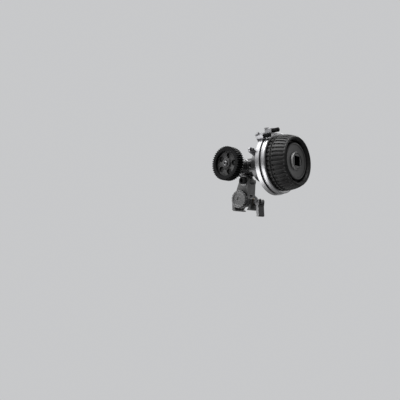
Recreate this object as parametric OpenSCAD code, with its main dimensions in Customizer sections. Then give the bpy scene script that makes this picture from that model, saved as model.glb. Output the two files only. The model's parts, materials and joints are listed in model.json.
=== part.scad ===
// Follow focus unit: handwheel, right-angle gearbox, swing arm and rail clamp.
// Millimetres. Origin: centre of the rail seat. +X to the handwheel's free face,
// -Y forward to the drive gear, +Z up.

/* [Rail clamp] */
// Width of the accessory rail at its widest
rail_w = 21.2; // [20:0.1:24]
// Height of the rail's head
rail_head = 4.4; // [4.2:0.1:6]
// Length of the clamp along the rail
clamp_len = 20; // [18:0.5:30]
// Thickness of the clamp's base plate over the rail
base_t = 8.6; // [8.4:0.1:10]
// Wall of each jaw outside the rail
jaw_wall = 2.6; // [2.2:0.1:4]
// Lip of each jaw under the rail's head
jaw_lip = 1; // [0.8:0.1:2]
// Travel of the moving jaw
jaw_travel = 1; // [0.8:0.1:1.1]
// Diameter of the clamp bolt
clamp_bolt_d = 5; // [4:0.5:5]
// Diameter of the two guide pins
guide_pin_d = 2.5; // [2:0.1:3]
// Radius of the lever's cam
cam_r = 3.8; // [3.6:0.1:4.6]
// Length of the lever below its pin
lever_len = 17; // [12:0.5:17.5]
// Width of the lever along the rail
lever_w = 11; // [10:0.5:12]

/* [Swing arm] */
// Distance from the rail's middle to the arm, towards the handwheel
arm_x = 3; // [0:0.5:4]
// Radius of the round neck on top of the clamp
neck_r = 9; // [8.5:0.1:10]
// Height from the arm's lower pivot to its upper one
arm_reach = 20.7; // [20.2:0.1:26]
// Sideways distance between the arm's two pivots
arm_lean = 5; // [0:0.5:7]
// Radius of the arm's lower boss
arm_r = 10.2; // [9:0.1:10.6]
// Thickness of the arm's lower boss
arm_t = 4.4; // [4.2:0.1:6]
// Radius of the round spigot that the arm turns on
spigot_r = 5; // [4.5:0.1:6]
// Diameter of the lock knob
knob_d = 20.8; // [19:0.1:22]
// Thickness of the lock knob
knob_t = 3.4; // [3.2:0.1:6]
// Diameter of the lock knob's stud
stud_d = 5; // [4.5:0.5:5.5]
// Radius of the upper knuckle
knuckle_r = 6.6; // [6:0.1:7]
// Thickness of the gearbox lug in the arm's fork
lug_t = 6; // [5:0.1:7]
// Thickness of each ear of the arm's fork
ear_t = 3.2; // [3:0.1:4]
// Diameter of the upper pivot bolt
pivot_d = 5; // [4:0.5:6]

/* [Gearbox] */
// Radius of the gearbox barrel
barrel_r = 10.5; // [10.3:0.1:11.5]
// Radius of the barrel's inner room
room_r = 8; // [7.8:0.1:8.2]
// Radius of the snout behind the drive gear
snout_r = 8.5; // [8:0.1:9.2]
// Radius of the flange behind the handwheel
flange_r = 18.5; // [17:0.5:20]
// Distance from the output shaft to the flange's back face
flange_x = 16.5; // [16:0.5:20]
// Thickness of the flange
flange_t = 11.5; // [10:0.5:13]
// Teeth of each bevel gear
bevel_teeth = 18; // [18:18:18]
// Pitch radius of each bevel gear at its big end
bevel_r = 6.3; // [6.1:0.1:6.5]
// Face width of each bevel gear along its shaft
bevel_face = 2.4; // [2:0.1:2.8]
// Diameter of the input shaft
input_d = 8; // [7:0.5:9]
// Outer diameter of the input bearings
input_bearing_d = 16; // [14:0.5:17]
// Diameter of the output shaft
output_d = 6; // [5:0.5:6]
// Outer diameter of the output bearings
output_bearing_d = 13; // [12:0.5:13.5]
// Width of every bearing
bearing_w = 5; // [4:0.5:5]

/* [Drive gear] */
// Teeth of the drive gear
gear_teeth = 45; // [38:1:50]
// Module of the drive gear
gear_module = 0.8; // [0.7:0.1:0.9]
// Face width of the drive gear
gear_w = 10; // [8.5:0.5:11]
// Distance from the input shaft to the drive gear's front face
gear_reach = 43; // [42:0.5:50]
// Depth of the dish in the drive gear's front face
gear_dish = 3.6; // [2:0.1:4.5]
// Round pockets in the drive gear's web
gear_pockets = 5; // [3:1:6]
// Depth of the pockets
pocket_depth = 2; // [1:0.1:2.4]

/* [Handwheel] */
// Radius of the handwheel's grip
wheel_r = 30.6; // [29:0.1:31.5]
// Depth of the handwheel in front of the rings
wheel_depth = 20.5; // [19:0.5:24]
// Thickness of the rubber grip
grip_t = 3.2; // [2.6:0.1:4]
// Ribs round the grip
grip_ribs = 40; // [32:1:48]
// Depth of the grooves between the ribs
rib_depth = 1; // [0.6:0.1:1.4]
// Radius of the dished front cap
cap_r = 20.6; // [18:0.1:22]
// Radius of the raised boss on the cap
boss_r = 11; // [10:0.1:12]
// Width of the groove round the cap
groove_w = 2.3; // [1.6:0.1:2.6]
// Depth of the groove round the cap
groove_d = 6.3; // [4:0.1:7]
// Width of the square drive socket
socket_w = 10.6; // [9.5:0.1:11.5]
// Depth of the square drive socket
socket_depth = 12; // [10:0.5:13]

/* [Rings and stops] */
// Outer radius of the stop ring
stop_ring_r = 34.6; // [34:0.1:36]
// Width of the stop ring
stop_ring_w = 5.3; // [4.5:0.1:6]
// Outer radius of the marking ring
mark_ring_r = 33.4; // [32.6:0.1:34.2]
// Width of the marking ring
mark_ring_w = 5.4; // [4.5:0.1:7]
// Width of the groove between the rings
ring_gap = 1; // [0.8:0.1:1.4]
// Angle of stop A from the top, towards the drive gear
stop_a_deg = 43; // [42:1:45]
// Angle of stop B from the top, towards the drive gear
stop_b_deg = 14; // [8:1:14]
// Angle of the fixed peg from the top, towards the drive gear
peg_deg = 72; // [72:1:76]
// Width of each stop block along the ring
stop_w = 6.4; // [5.6:0.1:7.6]
// Diameter of each stop's thumbscrew
thumb_d = 4.8; // [4.2:0.1:5.6]
// Length of each stop's thumbscrew head
thumb_len = 7.5; // [6:0.5:9]

/* [Hidden] */
$fn = 96;

// Fits
gap = 0.3;           // clear air between parts that pass each other
run_fit = 0.05;      // radial clearance of a shaft or pin that turns
slide_fit = 0.08;    // radial clearance of a guide pin
eps = 0.01;          // overlap that keeps joined solids whole

// Rail and clamp
flank = rail_head / 2;                 // 45 degree flanks meet at the rail's widest line
neck_w = rail_w - rail_head;           // width of the rail's top and of its neck
jaw_out = rail_w / 2 + jaw_wall;       // outer face of both jaws
split_x = neck_w / 2 - 0.3;            // where the body ends and the moving jaw begins
jaw_bottom = -rail_head - jaw_lip;
bolt_r = clamp_bolt_d / 2;
bolt_z = base_t / 2 - 0.2;
washer_t = 0.8;
cam_pin_r = 1.5;
lever_open = 85;                       // angle that opens the jaw by its whole travel
cam_offset = (jaw_travel + 0.4) / (1 - cos(lever_open));
pin_x = jaw_out + washer_t + gap + cam_r + cam_offset;
eye_t = clamp_bolt_d - 1;              // thickness of the clamp bolt's flat eye
eye_r = cam_pin_r + 1.7;
lever_t = 3;
lever_bottom = bolt_z - lever_len;
guide_z = bolt_z - 1.5;                // below the lock knob's stud
guide_y = clamp_len / 2 - guide_pin_d / 2 - 1.6;
guide_len = jaw_out - split_x - 1;
spring_in = bolt_r + 0.3;
spring_out = spring_in + 0.9;
spring_t = 0.45;
spring_rise = 0.8;
spring_len = 2 * (spring_rise + spring_t) + 0.02;

// Pivots
neck_z = base_t - 1.5;                 // lower pivot, just below the top of the base plate
pivot_z = neck_z + arm_reach;          // upper pivot
head_x = arm_x + arm_lean;             // upper pivot and output shaft
lean_deg = atan(arm_lean / arm_reach);
head_z = pivot_z + knuckle_r + barrel_r - 1;    // shaft axes
clamp_front = -clamp_len / 2;
arm_back = clamp_front - gap;
arm_front = arm_back - arm_t;
spigot_len = 3.4;
stud_r = stud_d / 2;
stud_grip = 4;                         // stud length held in the neck
knob_washer_t = 0.8;
knob_back = arm_front - knob_washer_t;
disc_t = 0.8;                          // friction disc
fork_in = lug_t / 2 + disc_t;
fork_out = fork_in + ear_t;
pivot_y = arm_front + fork_out;        // middle of the fork, flush with the arm's front
head_y = clamp_front + 4.5;            // plane of the input shaft
arm_rise = arm_r * 0.65;               // the arm over the neck starts this far above the pivot
back_ear_r = knuckle_r - 1 - gap;      // the back ear passes under the barrel
stem_w = knuckle_r - 1.4;              // half width of the lug above the pivot
pivot_r = pivot_d / 2;
head_r = pivot_r + 2.1;
head_t = 3;

// Gearbox, in the head's own frame: shaft axes cross at its origin
input_r = input_d / 2;
output_r = output_d / 2;
input_bearing_r = input_bearing_d / 2;
output_bearing_r = output_bearing_d / 2;
barrel_back = -10;
cover_t = 2;
cover_screw_r = 0.7;
bevel_tip = 1.13;                      // radius over distance of the bevel tooth tips
bevel_back = bevel_r + 2.2;            // back face of each bevel gear's hub
bearing_in = bevel_back + gap;
bearing_out_x = flange_x + flange_t - bearing_w;
gear_front = -gear_reach;
gear_back = gear_front + gear_w;
web_front = gear_front + gear_dish;
gear_screw_r = 1.25;
gear_pin_r = 0.9;
gear_pin_y = gear_back - 1.6;
gear_pin_z = gear_screw_r + 0.55;      // inner end of the pin, clear of the gear's screw
gear_pin_len = output_r + 2 - gear_pin_z;
snout_front = gear_back + 1.4;
bearing_out_y = snout_front + 1.2;
plate_t = 2.5;
plate_x = flange_x + flange_t;
plate_r = flange_r + 5.5;
plate_front = plate_x + plate_t;
drag_t = 0.9;
pad_x = bearing_in + bearing_w / 2;
pad_screw_r = 1.9;

// Handwheel and rings
hub_x = plate_front + drag_t;
stop_x = plate_front + 3.5;
stop_front = stop_x + stop_ring_w;
mark_x = stop_front + ring_gap;
mark_front = mark_x + mark_ring_w;
wheel_front = mark_front + wheel_depth;
core_r = wheel_r - grip_t;
hub_r = input_r + 4.5;
seat_r = mark_ring_r - 4.4;
shaft_end = wheel_front - socket_depth - 4.5;
cap_flange_t = 1.2;
cap_x = wheel_front - groove_d - cap_flange_t;
lip_r = cap_r + groove_w;              // inner wall of the grip, round the cap's groove
sleeve_r = socket_w * 0.5 * sqrt(2) + 0.6;
sleeve_front = wheel_front - 1.7;
ring_web = 2.4;
ring_screw_r = 1.25;
ring_screw_len = 8.1;
bolt_circle = (hub_r + seat_r) / 2;

// Stops
block_r = stop_ring_r + gap;           // underside of a stop block
thumb_r = thumb_d / 2;
thumb_shank = 1.4;
thumb_clear = 0.4;
thumb_at = max(mark_ring_r + thumb_r, block_r + thumb_shank) + thumb_clear;
block_top = thumb_at + thumb_shank + 1.5;
leg_x = plate_front + 1;
leg_t = stop_x - gap - leg_x;
block_front = mark_x - 0.2;
peg_at = block_r + 2.6;
peg_r = 1.3;
peg_shank = 0.9;
tongue_r = 2.7;

// Round bar from a to b along each axis, centred on that axis
module x_rod(r, a, b) { translate([a, 0, 0]) rotate([0, 90, 0]) cylinder(r = r, h = b - a); }
module y_rod(r, a, b) { translate([0, a, 0]) rotate([-90, 0, 0]) cylinder(r = r, h = b - a); }
module x_tube(r_out, r_in, a, b) {
    difference() {
        x_rod(r_out, a, b);
        x_rod(r_in, a - 1, b + 1);
    }
}
module y_tube(r_out, r_in, a, b) {
    difference() {
        y_rod(r_out, a, b);
        y_rod(r_in, a - 1, b + 1);
    }
}
// A profile of [distance along X, radius] points turned round the X axis
module x_turned(points) {
    rotate([0, 90, 0]) rotate_extrude() polygon([for (p = points) [p[1], p[0]]]);
}
module y_turned(points) {
    rotate([-90, 0, 0]) rotate_extrude() polygon([for (p = points) [p[1], p[0]]]);
}
// A profile in X and Z, extruded along Y from a to b
module y_slab(a, b) { translate([0, b, 0]) rotate([90, 0, 0]) linear_extrude(b - a) children(); }
// Two circles in X and Z and a straight-sided web between them, whose corners lie inside the circles
module link_shape(r_low, r_high, d) {
    inset = 0.3;
    circle(r_low);
    translate([0, d]) circle(r_high);
    polygon([
        [inset - r_low, 0], [r_low - inset, 0], [r_high - inset, d], [inset - r_high, d]
    ]);
}
module at_head() { translate([head_x, head_y, head_z]) children(); }
module at_upper_pivot() { translate([head_x, pivot_y, pivot_z]) children(); }
module at_lower_pivot() { translate([arm_x, 0, neck_z]) children(); }
// At the lower pivot, with +Z along the arm
module along_arm() { at_lower_pivot() rotate([0, lean_deg, 0]) children(); }
// Turned about the input shaft from the top towards the drive gear
module round_ring(deg) { at_head() rotate([deg, 0, 0]) children(); }
module hex_hole(across, a, b) {
    translate([0, a, 0]) rotate([-90, 30, 0]) cylinder(d = across / cos(30), h = b - a, $fn = 6);
}

// ---- Rail clamp ----

module body_profile() {
    polygon([
        [-jaw_out + 1, base_t], [split_x, base_t], [split_x, 0], [-neck_w / 2, 0],
        [-rail_w / 2, -flank], [-neck_w / 2, -rail_head], [-neck_w / 2, jaw_bottom],
        [-jaw_out + 1.4, jaw_bottom], [-jaw_out, jaw_bottom + 1.4], [-jaw_out, base_t - 1]
    ]);
}

module jaw_profile() {
    polygon([
        [split_x + gap, base_t], [jaw_out - 1, base_t], [jaw_out, base_t - 1],
        [jaw_out, jaw_bottom + 1.4], [jaw_out - 1.4, jaw_bottom], [neck_w / 2, jaw_bottom],
        [neck_w / 2, -rail_head], [rail_w / 2, -flank], [neck_w / 2, 0], [split_x + gap, 0]
    ]);
}

module bolt_line(r, a, b) { translate([0, 0, bolt_z]) x_rod(r, a, b); }

module guide_lines(r, a, b) {
    for (y = [-guide_y, guide_y]) translate([0, y, guide_z]) x_rod(r, a, b);
}

module clamp_body() {
    color("#262626") difference() {
        union() {
            y_slab(clamp_front, -clamp_front) body_profile();
            difference() {
                at_lower_pivot() y_rod(neck_r, clamp_front, -clamp_front);
                // the base plate carries the neck, above the rail
                translate([arm_x - neck_r - 1, clamp_front - 1, -neck_r])
                    cube([2 * neck_r + 2, clamp_len + 2, neck_r + base_t / 2]);
            }
            at_lower_pivot() y_rod(spigot_r, clamp_front - spigot_len, clamp_front + 1);
        }
        // the neck's back slopes down to the base
        translate([arm_x - neck_r - 1, 0, neck_z + neck_r - 1.5]) rotate([-38, 0, 0])
            cube([2 * neck_r + 2, clamp_len, 2 * neck_r]);
        // the neck stops where the moving jaw begins
        translate([split_x, clamp_front - 1, -1]) cube([jaw_out, clamp_len + 2, base_t + 1 + gap]);
        at_lower_pivot()
            y_rod(stud_r + run_fit, clamp_front - spigot_len - 1, clamp_front + stud_grip + 0.5);
        bolt_line(bolt_r + 0.1, -jaw_out - 1, split_x + 1);
        bolt_line(bolt_r + 1.7, -jaw_out - 1, -jaw_out + 3.2);
        bolt_line(spring_out + 0.2, split_x + gap - spring_len, split_x + 1);
        guide_lines(guide_pin_d / 2, split_x - 6, split_x + 1);
    }
}

module clamp_bolt() {
    color("#8c8f93") difference() {
        union() {
            bolt_line(bolt_r, -jaw_out + 0.5, pin_x);
            translate([pin_x, 0, bolt_z]) y_rod(eye_r, -eye_t / 2, eye_t / 2);
        }
        // two flats that stand in the lever's slot
        for (side = [-1, 1])
            translate([jaw_out + washer_t, side * (eye_t / 2 + bolt_r) - bolt_r, bolt_z - bolt_r - 1])
                cube([pin_x - jaw_out + eye_r, 2 * bolt_r, 2 * bolt_r + 2]);
        translate([pin_x, 0, bolt_z]) y_rod(cam_pin_r, -eye_t, eye_t);
    }
}

module bolt_nut() {
    color("#8c8f93") difference() {
        bolt_line(bolt_r + 1.5, -jaw_out + 0.3, -jaw_out + 3.2);
        bolt_line(bolt_r, -jaw_out, -jaw_out + 4);
        for (side = [-1, 1])
            translate([-jaw_out, -0.6, bolt_z + side * (bolt_r + 1.4) - 0.6]) cube([1.4, 1.2, 1.2]);
    }
}

module guide_pins() {
    color("#9a9da1") guide_lines(guide_pin_d / 2, split_x - 6, split_x + guide_len);
}

// Two cone-shaped disc springs, back to back, that push the jaw open
module jaw_spring() {
    rise = spring_rise;
    color("#b0b3b6") translate([split_x + gap - spring_len, 0, bolt_z]) {
        x_turned([
            [0, spring_in], [rise, spring_out], [rise + spring_t, spring_out], [spring_t, spring_in]
        ]);
        x_turned([
            [spring_len - rise - spring_t, spring_out], [spring_len - spring_t, spring_in],
            [spring_len, spring_in], [spring_len - rise, spring_out]
        ]);
    }
}

module moving_jaw() {
    color("#2b2b2b") difference() {
        y_slab(clamp_front, -clamp_front) jaw_profile();
        bolt_line(bolt_r + 0.3, split_x - 1, jaw_out + 1);
        guide_lines(guide_pin_d / 2 + slide_fit, split_x - 1, split_x + guide_len + 0.4);
    }
}

module cam_saddle() {
    color("#b08d4a") difference() {
        translate([jaw_out, -lever_w / 2, bolt_z - 4]) cube([washer_t, lever_w, 8]);
        bolt_line(bolt_r + 0.3, jaw_out - 1, jaw_out + 3);
    }
}

module cam_lever() {
    cheek_in = eye_t / 2 + gap;
    color("#1d1d1d") difference() {
        union() {
            translate([pin_x - cam_offset, 0, bolt_z]) y_rod(cam_r, -lever_w / 2, lever_w / 2);
            y_slab(-lever_w / 2, lever_w / 2) polygon([
                [pin_x - cam_offset - 0.4, bolt_z], [pin_x - cam_offset + cam_r, bolt_z],
                [pin_x + 1.4, bolt_z - cam_r - 2], [pin_x + 1.8, lever_bottom + 1],
                [pin_x + 1, lever_bottom], [pin_x + 1.8 - lever_t, lever_bottom],
                [pin_x + 1 - lever_t, bolt_z - cam_r - 1.6]
            ]);
        }
        // slot that the bolt's eye stands in
        translate([pin_x - cam_offset - cam_r - 1, -cheek_in, bolt_z - eye_r - 0.5])
            cube([2 * cam_r + cam_offset + 2, 2 * cheek_in, cam_r + eye_r + 2]);
        translate([pin_x, 0, bolt_z]) y_rod(cam_pin_r + run_fit, -lever_w, lever_w);
    }
}

module lever_pin() {
    color("#8c8f93") translate([pin_x, 0, bolt_z])
        y_rod(cam_pin_r, -lever_w / 2, lever_w / 2);
}

// ---- Swing arm ----

module swing_arm() {
    length = norm([arm_lean, arm_reach]);
    shoulder = length + 0.2;               // the ears' tops start here
    back = pivot_y + fork_out;
    color("#2a2a2a") along_arm() difference() {
        y_slab(arm_front, back) link_shape(arm_r, knuckle_r, length);
        // clear of the clamp and its neck
        y_rod(neck_r + gap, arm_back, back + 1);
        translate([-2 * arm_r, arm_back, -2 * arm_r])
            cube([4 * arm_r, back + 1 - arm_back, 2 * arm_r + arm_rise]);
        // room for the gearbox lug between the ears
        translate([0, pivot_y, length]) y_rod(knuckle_r + 0.5, -fork_in, fork_in);
        translate([-2 * knuckle_r, pivot_y - fork_in, shoulder])
            cube([4 * knuckle_r, 2 * fork_in, 2 * knuckle_r]);
        // the back ear's lower top, under the barrel
        difference() {
            translate([-2 * knuckle_r, pivot_y + fork_in - 0.5, shoulder])
                cube([4 * knuckle_r, ear_t + 1.5, 2 * knuckle_r]);
            translate([0, pivot_y, length]) y_rod(back_ear_r, 0, fork_out + 2);
        }
        translate([0, pivot_y, length]) y_rod(pivot_r, -fork_out - 1, fork_out + 1);
        y_rod(spigot_r + run_fit, arm_back - spigot_len, arm_back + 1);
        y_rod(stud_r + 0.1, arm_front - 1, arm_back + 1);
    }
}

module lock_knob() {
    flutes = 18;
    r = knob_d / 2;
    color("#6b6d70") at_lower_pivot() difference() {
        y_turned([
            [knob_back - knob_t, 0], [knob_back - knob_t, r - 1], [knob_back - knob_t + 1, r],
            [knob_back - 0.6, r], [knob_back, r - 0.6], [knob_back, 0]
        ]);
        y_rod(r - 3.2, knob_back - knob_t - 1, knob_back - knob_t + 0.6);
        for (i = [0:flutes - 1]) rotate([0, i * 360 / flutes, 0])
            translate([r + 0.5, knob_back - knob_t - 1, 0]) y_rod(1.1, 0, knob_t + 2, $fn = 24);
        y_rod(stud_r, knob_back - knob_t + 2, knob_back + 1);
    }
}

module knob_stud() {
    color("#9a9da1") at_lower_pivot()
        y_rod(stud_r, knob_back - knob_t + 2, clamp_front + stud_grip);
}

module knob_washer() {
    color("#b9bbbd") at_lower_pivot() y_tube(stud_r + 3.4, stud_r + 0.1, knob_back, arm_front);
}

module pivot_bolt() {
    front = -fork_out - 0.8;
    color("#191919") at_upper_pivot() difference() {
        union() {
            y_rod(pivot_r, front - 1, fork_out + 4.6);
            y_turned([
                [front - head_t, 0], [front - head_t, head_r - 0.4], [front - head_t + 0.4, head_r],
                [front, head_r], [front, 0]
            ]);
        }
        hex_hole(pivot_d, front - head_t - 1, front - head_t + 2);
    }
}

module pivot_washer() {
    color("#b9bbbd") at_upper_pivot() y_tube(head_r + 1, pivot_r, -fork_out - 0.8, -fork_out);
}

module pivot_nut() {
    color("#2e2e2e") at_upper_pivot() difference() {
        union() {
            translate([0, fork_out, 0]) rotate([-90, 30, 0])
                cylinder(r = pivot_r + 2.1, h = 3.2, $fn = 6);
            y_rod(pivot_r + 1.2, fork_out + 3, fork_out + 4.2);
        }
        y_rod(pivot_r, fork_out - 1, fork_out + 6);
    }
}

module friction_discs() {
    color("#c9a86a") at_upper_pivot() for (side = [-1, 1])
        y_tube(back_ear_r, pivot_r + 0.1,
            side * (lug_t + disc_t) / 2 - disc_t / 2, side * (lug_t + disc_t) / 2 + disc_t / 2);
}

// ---- Gearbox ----

module gearbox_housing() {
    lug_drop = pivot_z - head_z;
    lug_y = pivot_y - head_y;
    color("#2d2d2d") difference() {
        at_head() union() {
            x_rod(barrel_r, barrel_back, flange_x + 1);
            y_rod(snout_r, snout_front, 0);
            // collar where the snout leaves the barrel
            y_rod(snout_r + 0.6, -barrel_r - 2.4, 0);
            x_turned([
                [flange_x - 5, 0], [flange_x - 5, barrel_r - 1], [flange_x, flange_r - 5],
                [flange_x, flange_r - 0.8], [flange_x + 0.8, flange_r],
                [plate_x, flange_r], [plate_x, 0]
            ]);
            // flat pad round the bearing lock screw
            translate([pad_x - 5, -barrel_r - 1, -5]) cube([10, barrel_r, 10]);
            // lug for the upper pivot
            y_slab(lug_y - lug_t / 2, lug_y + lug_t / 2) {
                translate([0, lug_drop]) circle(knuckle_r);
                translate([-stem_w, lug_drop]) square([2 * stem_w, -lug_drop]);
            }
        }
        at_head() {
            x_rod(room_r, barrel_back - 1, bevel_back);
            y_rod(bevel_r * bevel_tip + 0.5, -bevel_back + gap, 0);
            x_rod(input_bearing_r, bevel_back - 1, plate_x + 1);
            y_rod(output_bearing_r, snout_front - 1, -bevel_back + 1);
            x_rod(flange_r - 5, plate_x - 1.2, plate_x + 1);
            // recess for the lock screw
            translate([pad_x, 0, 0]) {
                y_rod(pad_screw_r + 0.5, -barrel_r - 2, -barrel_r + 0.6);
                y_rod(pad_screw_r, -barrel_r, -input_bearing_r + 0.5);
            }
            for (i = [0:2]) rotate([60 + i * 120, 0, 0])
                translate([0, 0, (barrel_r + room_r) / 2])
                    x_rod(cover_screw_r, barrel_back - 1, barrel_back + 4);
            for (i = [0:3]) rotate([45 + i * 90, 0, 0])
                translate([0, 0, flange_r - 1.9]) x_rod(1.1, plate_x - 4, plate_x + 1);
        }
        at_upper_pivot() y_rod(pivot_r + run_fit, -lug_t, lug_t);
    }
}

module gearbox_cover() {
    color("#333333") at_head() difference() {
        union() {
            x_turned([
                [barrel_back - cover_t, 0], [barrel_back - cover_t, barrel_r - 0.8],
                [barrel_back - cover_t + 0.8, barrel_r], [barrel_back, barrel_r], [barrel_back, 0]
            ]);
            x_rod(room_r - 0.1, barrel_back - 0.5, barrel_back + 1.2);
        }
        for (i = [0:2]) rotate([60 + i * 120, 0, 0]) translate([0, 0, (barrel_r + room_r) / 2])
            x_rod(cover_screw_r, barrel_back - cover_t - 1, barrel_back + 4);
    }
}

module cover_screws() {
    color("#8c8f93") at_head() for (i = [0:2]) rotate([60 + i * 120, 0, 0])
        translate([0, 0, (barrel_r + room_r) / 2]) difference() {
            union() {
                x_rod(cover_screw_r, barrel_back - cover_t - 0.3, barrel_back + 3.6);
                x_rod(1.2, barrel_back - cover_t - 0.9, barrel_back - cover_t);
            }
            translate([barrel_back - cover_t - 1.5, -0.2, -0.9]) cube([0.9, 0.4, 1.8]);
        }
}

module bearing_lock_screw() {
    color("#5c5e61") at_head() translate([pad_x, 0, 0]) difference() {
        y_rod(pad_screw_r, -barrel_r, -input_bearing_r);
        hex_hole(2, -barrel_r - 1, -barrel_r + 1.6);
    }
}

// Ball bearing with shield grooves in both faces, along X from 0
module bearing(r_out, r_in) {
    step = (r_out - r_in) * 0.28;
    x_turned([
        [0, r_in], [0, r_in + step], [0.4, r_in + step], [0.4, r_out - step], [0, r_out - step],
        [0, r_out], [bearing_w, r_out], [bearing_w, r_out - step], [bearing_w - 0.4, r_out - step],
        [bearing_w - 0.4, r_in + step], [bearing_w, r_in + step], [bearing_w, r_in]
    ]);
}

module input_bearing_inner() {
    color("#c4c6c8") at_head() translate([bearing_in, 0, 0]) bearing(input_bearing_r, input_r + run_fit);
}

module input_bearing_outer() {
    color("#c4c6c8") at_head() translate([bearing_out_x, 0, 0]) bearing(input_bearing_r, input_r + run_fit);
}

module input_spacer() {
    color("#a5a7aa") at_head()
        x_tube(input_bearing_r, input_bearing_r - 1.2, bearing_in + bearing_w, bearing_out_x);
}

module output_bearing_inner() {
    color("#c4c6c8") at_head() rotate([0, 0, -90]) translate([bearing_in, 0, 0])
        bearing(output_bearing_r, output_r + run_fit);
}

module output_bearing_outer() {
    color("#c4c6c8") at_head() rotate([0, 0, -90]) translate([-bearing_out_y - bearing_w, 0, 0])
        bearing(output_bearing_r, output_r + run_fit);
}

module output_spacer() {
    color("#a5a7aa") at_head()
        y_tube(output_bearing_r, output_bearing_r - 1.2,
            bearing_out_y + bearing_w, -bearing_in - bearing_w);
}

// Disc behind the rings, with the tongue that carries the fixed peg
module back_plate() {
    color("#202020") at_head() difference() {
        union() {
            x_rod(plate_r, plate_x, plate_front);
            rotate([peg_deg, 0, 0]) translate([plate_x, -tongue_r, plate_r - 3])
                cube([plate_t, 2 * tongue_r, peg_at - plate_r + 3]);
            rotate([peg_deg, 0, 0]) translate([0, 0, peg_at]) x_rod(tongue_r, plate_x, plate_front);
        }
        x_rod(input_bearing_r - 1.5, plate_x - 1, plate_front + 1);
        rotate([peg_deg, 0, 0]) translate([0, 0, peg_at]) x_rod(peg_shank, plate_x - 1, plate_front + 1);
        for (i = [0:3]) rotate([45 + i * 90, 0, 0]) translate([0, 0, flange_r - 1.9])
            x_rod(1.1, plate_x - 1, plate_front + 1);
    }
}

module back_plate_screws() {
    color("#4a4c4f") at_head() for (i = [0:3]) rotate([45 + i * 90, 0, 0])
        translate([0, 0, flange_r - 1.9]) x_rod(1.1, plate_x - 3.8, plate_front);
}

module stop_peg() {
    color("#161616") round_ring(peg_deg) translate([0, 0, peg_at]) {
        x_rod(peg_shank, plate_x, plate_front + 0.5);
        x_rod(peg_r, plate_front, stop_x - gap);
    }
}

module drag_washer() {
    color("#c9a86a") at_head() x_tube(hub_r - 0.5, input_r + 0.6, plate_front, hub_x);
}

// ---- Handwheel ----

module input_shaft() {
    color("#a5a7aa") at_head() difference() {
        x_rod(input_r, bevel_r - bevel_face - 0.6, shaft_end);
        x_rod(1.7, shaft_end - 9, shaft_end + 1);
        translate([(hub_x + stop_x) / 2, 0, 0]) rotate([90, 0, 0])
            cylinder(r = 1.25, h = 4 * input_r, center = true);
        // step that the bevel gear seats on
        x_tube(input_r + 1, 2.5, bevel_r - bevel_face - 1, bevel_back);
    }
}

// Bevel gear along X with its cone's tip at the origin; phase in tooth pitches
module bevel_gear(phase, bore) {
    root_slope = 0.8;
    root_angle = atan(root_slope);
    small = bevel_r - bevel_face;
    difference() {
        union() {
            translate([small, 0, 0]) rotate([0, 90, 0])
                cylinder(r1 = small * bevel_tip, r2 = bevel_r * bevel_tip, h = bevel_face);
            x_turned([
                [bevel_r - eps, 0], [bevel_r - eps, bevel_r * bevel_tip],
                [bevel_r + 0.5, bevel_r * bevel_tip - 0.4], [bevel_r + 1.2, bevel_r * 0.76],
                [bevel_back, bevel_r * 0.76], [bevel_back, 0]
            ]);
        }
        for (i = [0:bevel_teeth - 1])
            rotate([(i + phase) * 360 / bevel_teeth, 0, 0]) rotate([0, -root_angle, 0])
                translate([small * 0.6, 0, 0]) rotate([90, 0, 90])
                    linear_extrude(bevel_r * 1.5) polygon([[0, 0], [1.6, 2.3], [-1.6, 2.3]]);
        x_rod(bore, small - 1, bevel_back + 1);
    }
}

module input_bevel() {
    color("#9c7f43") at_head() bevel_gear(0, 2.5);
}

module wheel_core() {
    color("#3a3a3a") at_head() difference() {
        union() {
            x_rod(hub_r, hub_x, shaft_end + 4);
            x_rod(mark_ring_r - 0.5, stop_front, mark_x);
            x_rod(seat_r, mark_x - eps, mark_front);
            x_rod(core_r, mark_front - eps, cap_x);
        }
        // hollow front, behind the cap
        difference() {
            x_rod(core_r - 2.4, mark_front + 2, cap_x + 1);
            x_rod(sleeve_r + 2, mark_front, cap_x + 2);
        }
        x_rod(input_r, hub_x - 1, shaft_end);
        x_rod(2.1, shaft_end - 1, shaft_end + 2);
        x_rod(3.7, shaft_end + 1.4, shaft_end + 5);
        x_rod(sleeve_r, shaft_end + 4, cap_x + 2);
        translate([(hub_x + stop_x) / 2, 0, 0]) rotate([90, 0, 0])
            cylinder(r = 1.25, h = 4 * hub_r, center = true);
        for (i = [0:2]) rotate([i * 120, 0, 0]) translate([0, 0, bolt_circle])
            x_rod(ring_screw_r, stop_front - 1, stop_front - ring_web + ring_screw_len + 0.4);
    }
}

module wheel_pin() {
    color("#8c8f93") at_head() translate([(hub_x + stop_x) / 2, 0, 0]) rotate([90, 0, 0])
        cylinder(r = 1.25, h = 2 * hub_r - 0.6, center = true);
}

module wheel_screw() {
    color("#8c8f93") at_head() difference() {
        union() {
            x_rod(1.7, shaft_end - 8, shaft_end + 2);
            x_rod(3.4, shaft_end + 1.4, shaft_end + 4);
        }
        translate([shaft_end + 2.4, 0, 0]) rotate([0, 90, 0]) cylinder(d = 3 / cos(30), h = 3, $fn = 6);
    }
}

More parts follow.
